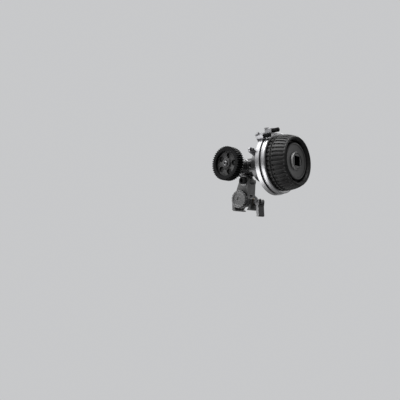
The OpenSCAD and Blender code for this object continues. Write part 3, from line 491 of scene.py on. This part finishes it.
def turnMesh(name, axis, through, outline, segments, shape=None, closed=True):
    # outline is a row of (along, radius), turned about an axis through a point, and
    # shape(i, along, radius, angle) may change both
    mesh = bpy.data.meshes.new(name)
    foot = footOf(axis, through)
    verts, faces = [], []
    count = len(outline)
    for k in range(segments):
        angle = 2 * math.pi * k / segments
        for i, (along, radius) in enumerate(outline):
            if shape:
                along, radius = shape(i, along, radius, angle)
            verts.append(axisPoint(axis, foot, along, radius, angle))
    for k in range(segments):
        here, there = k * count, (k + 1) % segments * count
        for i in range(count if closed else count - 1):
            j = (i + 1) % count
            faces.append((here + i, here + j, there + j, there + i))
    mesh.from_pydata(verts, [], faces)
    bm = bmesh.new()
    bm.from_mesh(mesh)
    bmesh.ops.remove_doubles(bm, verts=bm.verts, dist=1e-7)
    bmesh.ops.recalc_face_normals(bm, faces=bm.faces)
    bm.to_mesh(mesh)
    bm.free()
    return mesh


def rounded(points, radius, steps=3):
    # the same loop of (along, radius) with each corner rounded, by less than half of its shorter side
    result = []
    count = len(points)
    for i in range(count):
        a, b, c = (Vector(points[(i + d) % count]) for d in (-1, 0, 1))
        reach = min(radius, (a - b).length * 0.45, (c - b).length * 0.45)
        start, end = b + (a - b).normalized() * reach, b + (c - b).normalized() * reach
        for s in range(steps + 1):
            t = s / steps
            result.append(tuple(start * (1 - t) ** 2 + b * 2 * t * (1 - t) + end * t ** 2))
    return result


def smoothStep(low, high, value):
    t = min(1, max(0, (value - low) / (high - low)))
    return t * t * (3 - 2 * t)


# ribbed rubber grip: barrel has (mm from the back, mm below the full radius), shoulder has (mm behind
# the front, mm below the full radius), and crest has (mm behind the front, share of the rim over the lip)
grip = {
    "wall": 3.2 * mm, "lip": 22.9 * mm, "margin": 1 * mm, "step": 0.45 * mm, "smoothAngle": 40,
    "barrel": ((0, 0.5), (0.5, 0), (4, 0), (4.6, 1.1), (5.4, 1.1),
               (6, 0.1), (8, 0.3), (10, 0.6), (12.4, 1.1)),
    "shoulder": ((6, 1.7), (4.4, 2.2), (3, 2.9)),
    "crest": ((2, 0.58), (1.1, 0.50), (0.5, 0.44), (0.12, 0.38), (0, 0.34), (0.2, 0.28), (0.6, 0.21),
              (1.2, 0.14), (1.9, 0.08), (2.7, 0.025), (3.4, 0)),
    "ribs": 40, "perRib": 16, "ribDepth": 1.25 * mm, "grooveStart": (0.20, 0.34), "grooveEnd": (0.66, 0.80),
    "longRibs": (5.9 * mm, 7.2 * mm), "longRibsEnd": (3.2 * mm, 0.8 * mm),
    "shortRibsEnd": (2.8 * mm, 3.8 * mm), "shortRibs": 0.8,
}


def makeGrip():
    low, high = span("grip_ring")
    back, front = low.x, high.x
    r = (high.z - low.z) / 2
    core = r - grip["wall"]
    lip = grip["lip"]
    rim = r - lip
    seat = span("front_cap")[0].x
    profile = [(back, core)]
    profile += [(back + place * mm, r - drop * mm) for place, drop in grip["barrel"]]
    profile += [(front - place * mm, r - drop * mm) for place, drop in grip["shoulder"]]
    profile += [(front - place * mm, lip + rim * share) for place, share in grip["crest"]]
    profile += [(seat, lip), (seat, core)]

    # the outside, a margin clear of the core, is cut into short steps, so that the ribs can fade along it
    dense = []
    for start, end in zip(profile, profile[1:] + profile[:1]):
        outside = start[1] > core + grip["margin"] and end[1] > core
        cuts = max(1, round(math.dist(start, end) / grip["step"])) if outside else 1
        dense += [tuple(a + (b - a) * c / cuts for a, b in zip(start, end)) for c in range(cuts)]

    def ribbed(i, along, radius, angle):
        if radius < lip + grip["margin"]:
            return along, radius
        phase = (angle * grip["ribs"] / (2 * math.pi)) % 1
        groove = smoothStep(*grip["grooveStart"], phase) * (1 - smoothStep(*grip["grooveEnd"], phase))
        starts = smoothStep(*(back + place for place in grip["longRibs"]), along)
        ends = 1 - smoothStep(*(front - place for place in grip["longRibsEnd"]), along)
        short = 1 - smoothStep(*(back + place for place in grip["shortRibsEnd"]), along)
        return along, radius - grip["ribDepth"] * groove * max(starts * ends, grip["shortRibs"] * short)

    mesh = turnMesh("grip", "X", wheelAxis, dense, grip["ribs"] * grip["perRib"], ribbed)
    piece = makePiece("rubber_grip", mesh, gripRubber, grip["smoothAngle"])
    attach(piece, "wheel")
    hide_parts("grip_ring")


makeGrip()
print("stage: grip made")


# dished cap: shoulder has (mm behind the face, mm inside the edge), and dish has (mm behind the face,
# mm outside the boss)
cap = {
    "groove": 2.25 * mm, "flange": 1.2 * mm, "boss": capLook["boss"], "bore": 8.1 * mm, "chamfer": 0.5 * mm,
    "shoulder": ((2.2, 0), (1.4, 0.8), (1.2, 2.4), (1.7, 3.2)),
    "dish": ((2.1, 3), (2.2, 0.8), (0.4, 0.2), (0, -0.4)),
    "rounding": 0.45 * mm, "segments": 240, "smoothAngle": 50,
}


def makeCap():
    low, high = span("front_cap")
    back, face = low.x, high.x
    lip = (high.z - low.z) / 2
    edge = lip - cap["groove"]
    floor = back + cap["flange"]
    bore, chamfer = cap["bore"], cap["chamfer"]
    outline = [(back, bore), (back, lip), (floor, lip), (floor, edge)]
    outline += [(face - place * mm, edge - inside * mm) for place, inside in cap["shoulder"]]
    outline += [(face - place * mm, cap["boss"] + outside * mm) for place, outside in cap["dish"]]
    outline += [(face, bore + chamfer), (face - chamfer, bore)]
    mesh = turnMesh("cap", "X", wheelAxis, rounded(outline, cap["rounding"]), cap["segments"])
    piece = makePiece("dished_cap", mesh, capAnodised, cap["smoothAngle"])
    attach(piece, "wheel")
    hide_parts("front_cap")


# marking ring, plain but for one fine line round its rim
markRing = {"seat": 29.0 * mm, "line": 0.9 * mm, "lineDepth": 0.18 * mm, "backChamfer": 0.3 * mm,
            "frontChamfer": 0.8 * mm, "rounding": 0.12 * mm, "roundingSteps": 2, "segments": 288,
            "smoothAngle": 40}


def makeMarkRing():
    low, high = span("marking_ring")
    back, front = low.x, high.x
    r = (high.z - low.z) / 2
    seat, line, depth = markRing["seat"], back + markRing["line"], markRing["lineDepth"]
    backChamfer, frontChamfer = markRing["backChamfer"], markRing["frontChamfer"]
    outline = rounded([
        (back, seat), (back, r - backChamfer), (back + backChamfer, r),
        (line - depth, r), (line, r - depth), (line + depth, r),
        (front - frontChamfer, r), (front, r - frontChamfer), (front, seat)],
        markRing["rounding"], markRing["roundingSteps"])
    mesh = turnMesh("markRing", "X", wheelAxis, outline, markRing["segments"])
    piece = makePiece("lined_marking_ring", mesh, ringSilver, markRing["smoothAngle"])
    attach(piece, "wheel")
    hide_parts("marking_ring")


makeCap()
makeMarkRing()
print("stage: cap and marking ring made")


# drive gear, dished on both faces, with round pockets in its web
driveGear = {
    "teeth": 45, "module": 0.8 * mm, "dedendum": 1.15, "flank": (0.28, 0.78), "firstTooth": 0.25,
    "perTooth": 12, "chamfer": 0.3 * mm, "rim": 3.2 * mm, "rimStep": 0.5 * mm,
    "dish": 3.6 * mm, "dishDraft": 0.3 * mm, "backDish": 1.6 * mm, "backDraft": 0.4 * mm,
    "bore": 3 * mm, "boreFloor": 1.6 * mm, "hub": 2.4 * mm, "hubDraft": 0.1 * mm, "hubSink": 1.6 * mm,
    "screwHole": 1.35 * mm, "rounding": 0.35 * mm, "smoothAngle": 35,
    "pockets": 5, "pocketShare": 0.38, "pocketDepth": 2 * mm, "pocketSides": 48,
}


def makeDriveGear():
    low, high = span("drive_gear")
    front, back = low.y, high.y
    pitch = driveGear["module"] * driveGear["teeth"] / 2
    root = pitch - driveGear["dedendum"] * driveGear["module"]
    tip = (high.z - low.z) / 2
    chamfer = driveGear["chamfer"]
    dishR = root - driveGear["rim"]
    bore, screwHole = driveGear["bore"], driveGear["screwHole"]
    hub = bore + driveGear["hub"]
    hubFace = front + driveGear["hubSink"]
    floor = front + driveGear["dish"]
    backFloor = back - driveGear["backDish"]
    boreFloor = floor + driveGear["boreFloor"]
    faceR = root - driveGear["rimStep"]
    toothRows = [(front, tip - chamfer), (front + chamfer, tip), (back - chamfer, tip), (back, tip - chamfer)]
    inner = rounded([
        (back, dishR), (backFloor, dishR - driveGear["backDraft"]), (backFloor, hub), (back, hub),
        (back, bore), (boreFloor, bore), (boreFloor, screwHole), (hubFace, screwHole),
        (hubFace, hub - driveGear["hubDraft"]), (floor, hub), (floor, dishR - driveGear["dishDraft"]),
        (front, dishR)], driveGear["rounding"])
    outline = [(front, faceR)] + toothRows + [(back, faceR)] + inner

    def toothed(i, along, radius, angle):
        # rows 1 to 4 are the tooth rows, and the outer two of them are chamfered
        if not 1 <= i <= 4:
            return along, radius
        phase = (angle * driveGear["teeth"] / (2 * math.pi) + driveGear["firstTooth"]) % 1
        fromMiddle = abs(phase - 0.5) * 2                  # 0 at a tooth's middle, 1 in the gap's middle
        height = 1 - smoothStep(*driveGear["flank"], fromMiddle)
        top = tip if 2 <= i <= 3 else tip - chamfer
        return along, root + (top - root) * height

    mesh = turnMesh("driveGear", "Y", gearAxis, outline, driveGear["teeth"] * driveGear["perTooth"], toothed)
    piece = makePiece("toothed_drive_gear", mesh, gearPlastic, driveGear["smoothAngle"])
    cutPockets(piece, front, (dishR + hub) / 2, (dishR - hub) * driveGear["pocketShare"])
    piece.data.set_sharp_from_angle(angle=math.radians(driveGear["smoothAngle"]))
    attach(piece, "drive")
    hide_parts("drive_gear")


def cutPockets(piece, front, ringR, pocketR):
    # blind round pockets on a circle, cut from the gear's front face
    length = 2 * (driveGear["dish"] + driveGear["pocketDepth"])
    lyingAlongY = Matrix.Rotation(math.pi / 2, 4, "X")
    cutters = bmesh.new()
    for k in range(driveGear["pockets"]):
        angle = 2 * math.pi * k / driveGear["pockets"]
        at = footOf("Y", gearAxis) + Vector((ringR * math.cos(angle), front, -ringR * math.sin(angle)))
        bmesh.ops.create_cone(
            cutters, cap_ends=True, segments=driveGear["pocketSides"], radius1=pocketR, radius2=pocketR,
            depth=length, matrix=Matrix.Translation(at) @ lyingAlongY)
    cutMesh = bpy.data.meshes.new("gearPockets")
    cutters.to_mesh(cutMesh)
    cutters.free()
    cutter = bpy.data.objects.new("gearPockets", cutMesh)
    bpy.context.scene.collection.objects.link(cutter)
    drill = piece.modifiers.new("holes", "BOOLEAN")
    drill.object = cutter
    drill.solver = "EXACT"
    bpy.context.view_layer.objects.active = piece
    bpy.ops.object.modifier_apply(modifier="holes")
    bpy.data.objects.remove(cutter)


makeDriveGear()
print("stage: drive gear made")


# knurled thumbscrews of the two stops: tip has (mm behind the front, mm below the full radius)
thumb = {
    "head": 7.5 * mm, "rows": 26, "knurls": 20, "perKnurl": 8, "depth": 0.34 * mm, "twist": 0.55,
    "sharpness": 1.6, "margin": 0.1 * mm, "shank": 1.4 * mm, "neck": 0.4 * mm,
    "smoothEnd": 0.7 * mm, "endDrop": 0.25 * mm, "smoothAngle": 50,
    "tip": ((0, 0.5), (0, 1.2), (0.35, 1.5)),
}


def makeThumbscrew(letter):
    low, high = span(f"stop_{letter}_screw")
    tail, front = low.x, high.x
    back = front - thumb["head"]
    r = (high.z - low.z) / 2
    rows = thumb["rows"]
    outline = [(tail, 0), (tail, thumb["shank"]), (back, thumb["shank"]), (back, r - thumb["neck"])]
    outline += [(back + (front - back) * t / rows, r) for t in range(1, rows)]
    outline += [(front - place * mm, r - drop * mm) for place, drop in thumb["tip"]]
    outline += [(outline[-1][0], 0)]

    def knurled(i, along, radius, angle):
        if radius < r - thumb["margin"]:
            return along, radius
        turn = angle * thumb["knurls"] / 2
        lead = (along - back) / r * thumb["knurls"] * thumb["twist"] / 2
        cut = min(abs(math.sin(turn + lead)), abs(math.sin(turn - lead)))
        starts = smoothStep(back, back + thumb["smoothEnd"], along)
        full = starts * (1 - smoothStep(front - thumb["smoothEnd"], front, along))
        knurl = thumb["depth"] * (1 - min(1, cut * thumb["sharpness"])) * full
        return along, radius - knurl - thumb["endDrop"] * (1 - full)

    segments = thumb["knurls"] * thumb["perKnurl"]
    mesh = turnMesh("thumb", "X", middle(f"stop_{letter}_screw"), outline, segments, knurled, closed=False)
    piece = makePiece(f"knurled_thumbscrew_{letter}", mesh, knurlBlack, thumb["smoothAngle"])
    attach(piece, f"stop_{letter}_thumb")
    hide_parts(f"stop_{letter}_screw")


for letter in "ab":
    makeThumbscrew(letter)


# fluted lock knob, with a sunk face and a small dimple in its middle
lockKnob = {
    "flutes": 18, "perFlute": 12, "fluteDepth": 0.6 * mm, "fluteHalf": 0.30, "fluteShape": 0.7,
    "band": 3.2 * mm, "bandDraft": 0.3 * mm, "land": 1.2 * mm, "chamfer": 0.6 * mm, "backChamfer": 0.4 * mm,
    "face": 0.6 * mm, "dimple": 2.2 * mm, "dimpleFloor": 1.8 * mm, "dimpleDepth": 1.1 * mm,
    "stud": 2.5 * mm, "studEnd": 2 * mm, "rounding": 0.3 * mm, "roundingSteps": 4, "smoothAngle": 40,
}


def makeLockKnob():
    low, high = span("lock_knob")
    front, back = low.y, high.y
    r = (high.z - low.z) / 2
    flat = r - lockKnob["band"]
    chamfer = lockKnob["chamfer"]
    face = front + lockKnob["face"]
    dimple, studEnd = front + lockKnob["dimpleDepth"], front + lockKnob["studEnd"]
    outline = [(back, lockKnob["stud"])]
    outline += rounded([
        (back, r - chamfer), (back - lockKnob["backChamfer"], r), (front + chamfer, r), (front, r - chamfer),
        (front, flat + lockKnob["bandDraft"]), (face, flat), (face, lockKnob["dimple"]),
        (dimple, lockKnob["dimpleFloor"])], lockKnob["rounding"], lockKnob["roundingSteps"])
    outline += [(dimple, 0), (studEnd, 0), (studEnd, lockKnob["stud"])]

    def fluted(i, along, radius, angle):
        if radius < flat + lockKnob["land"]:
            return along, radius
        phase = (angle * lockKnob["flutes"] / (2 * math.pi)) % 1
        scallop = max(0, 1 - ((phase - 0.5) / lockKnob["fluteHalf"]) ** 2)
        return along, radius - lockKnob["fluteDepth"] * scallop ** lockKnob["fluteShape"]

    mesh = turnMesh("lockKnob", "Y", knobAxis, outline, lockKnob["flutes"] * lockKnob["perFlute"], fluted)
    piece = makePiece("fluted_lock_knob", mesh, knobGrey, lockKnob["smoothAngle"])
    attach(piece, "knob")
    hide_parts("lock_knob")


makeLockKnob()
print("stage: knob and thumbscrews made")


studio = {
    "floorBelow": 450 * mm, "floorHalf": 6.0, "floor": (0.20, 0.20, 0.20), "floorRough": 0.8,
    "backdrop": (0.575, 0.58, 0.59), "skyWhite": (1.0, 1.0, 1.0),
    "skyFrom": (-0.30, -0.25, 0.92), "skyLean": (-0.6, 1), "skyLevel": (0.02, 0.64),
}
lamps = {
    "key": {"place": (-0.55, -0.60, 0.80), "size": 1.2, "power": 4.8},
    "top": {"place": (-0.10, -0.30, 0.95), "size": 1.0, "power": 17.0},
    "back": {"place": (-0.20, 0.80, 0.45), "size": 0.6, "power": 3.0},
    "low": {"place": (-0.40, -0.20, -0.42), "size": 1.0, "power": 8.5},
    "side": {"place": (0.42, 0.70, 0.12), "size": 0.5, "power": 0.55},
}


def seenDirectly(g):
    # 1 for what the camera sees, also through something clear, and 0 for light that falls on the part
    camera = g.node("ShaderNodeLightPath", out="Is Camera Ray")
    clear = g.node("ShaderNodeLightPath", out="Is Transmission Ray")
    return g.node("ShaderNodeMath", {"operation": "MAXIMUM"}, {0: camera, 1: clear})


def paleFloor():
    # grey paper for the light that falls on the part, the even backdrop for the camera
    g = newFinish("pale floor")
    g.finish({"Base Color": studio["floor"], "Roughness": studio["floorRough"]})
    glow = g.node("ShaderNodeEmission", {}, {"Color": studio["backdrop"]})
    blend = g.node("ShaderNodeMixShader", {}, {0: seenDirectly(g), 1: Wire(g, g.shader.outputs[0]), 2: glow})
    output = next(n for n in g.tree.nodes if n.type == "OUTPUT_MATERIAL")
    g.feed(output.inputs["Surface"], blend)
    return g.owner


def makeStage():
    z = cadBox[0][2] - studio["floorBelow"]
    half = studio["floorHalf"]
    corners = [(-half, -half, z), (half, -half, z), (half, half, z), (-half, half, z)]
    mesh = bpy.data.meshes.new("floor")
    mesh.from_pydata(corners, [], [(0, 1, 2, 3)])
    floor = bpy.data.objects.new("floor", mesh)
    bpy.context.scene.collection.objects.link(floor)
    mesh.materials.append(paleFloor())


def makeLamp(name, place, size, power):
    data = bpy.data.lights.new(name, "AREA")
    data.shape = "DISK"
    data.size = size
    data.energy = power
    lamp = bpy.data.objects.new(name, data)
    lamp.location = headCentre + Vector(place)
    lamp.rotation_euler = (-Vector(place)).to_track_quat("-Z", "Y").to_euler()
    bpy.context.scene.collection.objects.link(lamp)


def makeSky():
    # the even backdrop for the camera, and for everything else a sky that is lighter overhead
    world = bpy.data.worlds.new("studio")
    bpy.context.scene.world = world
    g = Graph(world)
    outward = g.node("ShaderNodeTexCoord", out="Generated")
    lean = g.vector("DOT_PRODUCT", outward, studio["skyFrom"], out="Value")
    leanLow, leanHigh = studio["skyLean"]
    dark, light = studio["skyLevel"]
    level = g.node("ShaderNodeMapRange", {}, {
        "Value": lean, "From Min": leanLow, "From Max": leanHigh, "To Min": dark, "To Max": light})
    direct = seenDirectly(g)
    g.finish({
        "Strength": level + direct * (1 - level),
        "Color": g.mix(direct, studio["skyWhite"], studio["backdrop"])})


# the photograph's viewing angle, fitted to the rings, the wheel and the gear
camera = {"azimuth": 43.0, "elevation": -5.784, "focal": 41.58, "sensor": 36.0, "nearest": 0.01,
          "offset": (320.1 * mm, -426.1 * mm, -91.1 * mm)}


def makeCamera():
    a, e = math.radians(camera["azimuth"]), math.radians(camera["elevation"])
    right = Vector((math.cos(a), math.sin(a), 0))
    back = Vector((math.sin(a) * math.cos(e), -math.cos(a) * math.cos(e), math.sin(e)))
    up = back.cross(right)
    data = bpy.data.cameras.new("camera")
    data.sensor_width = camera["sensor"]
    data.lens = camera["focal"]
    data.clip_start = camera["nearest"]
    eye = bpy.data.objects.new("camera", data)
    turn = Matrix((right, up, back)).transposed().to_4x4()
    eye.matrix_world = Matrix.Translation(headCentre + Vector(camera["offset"])) @ turn
    bpy.context.scene.collection.objects.link(eye)
    bpy.context.scene.camera = eye


makeStage()
makeSky()
for name, lamp in lamps.items():
    makeLamp(name, **lamp)
makeCamera()
bpy.context.scene.view_settings.view_transform = "Standard"
print("stage: studio and camera set")
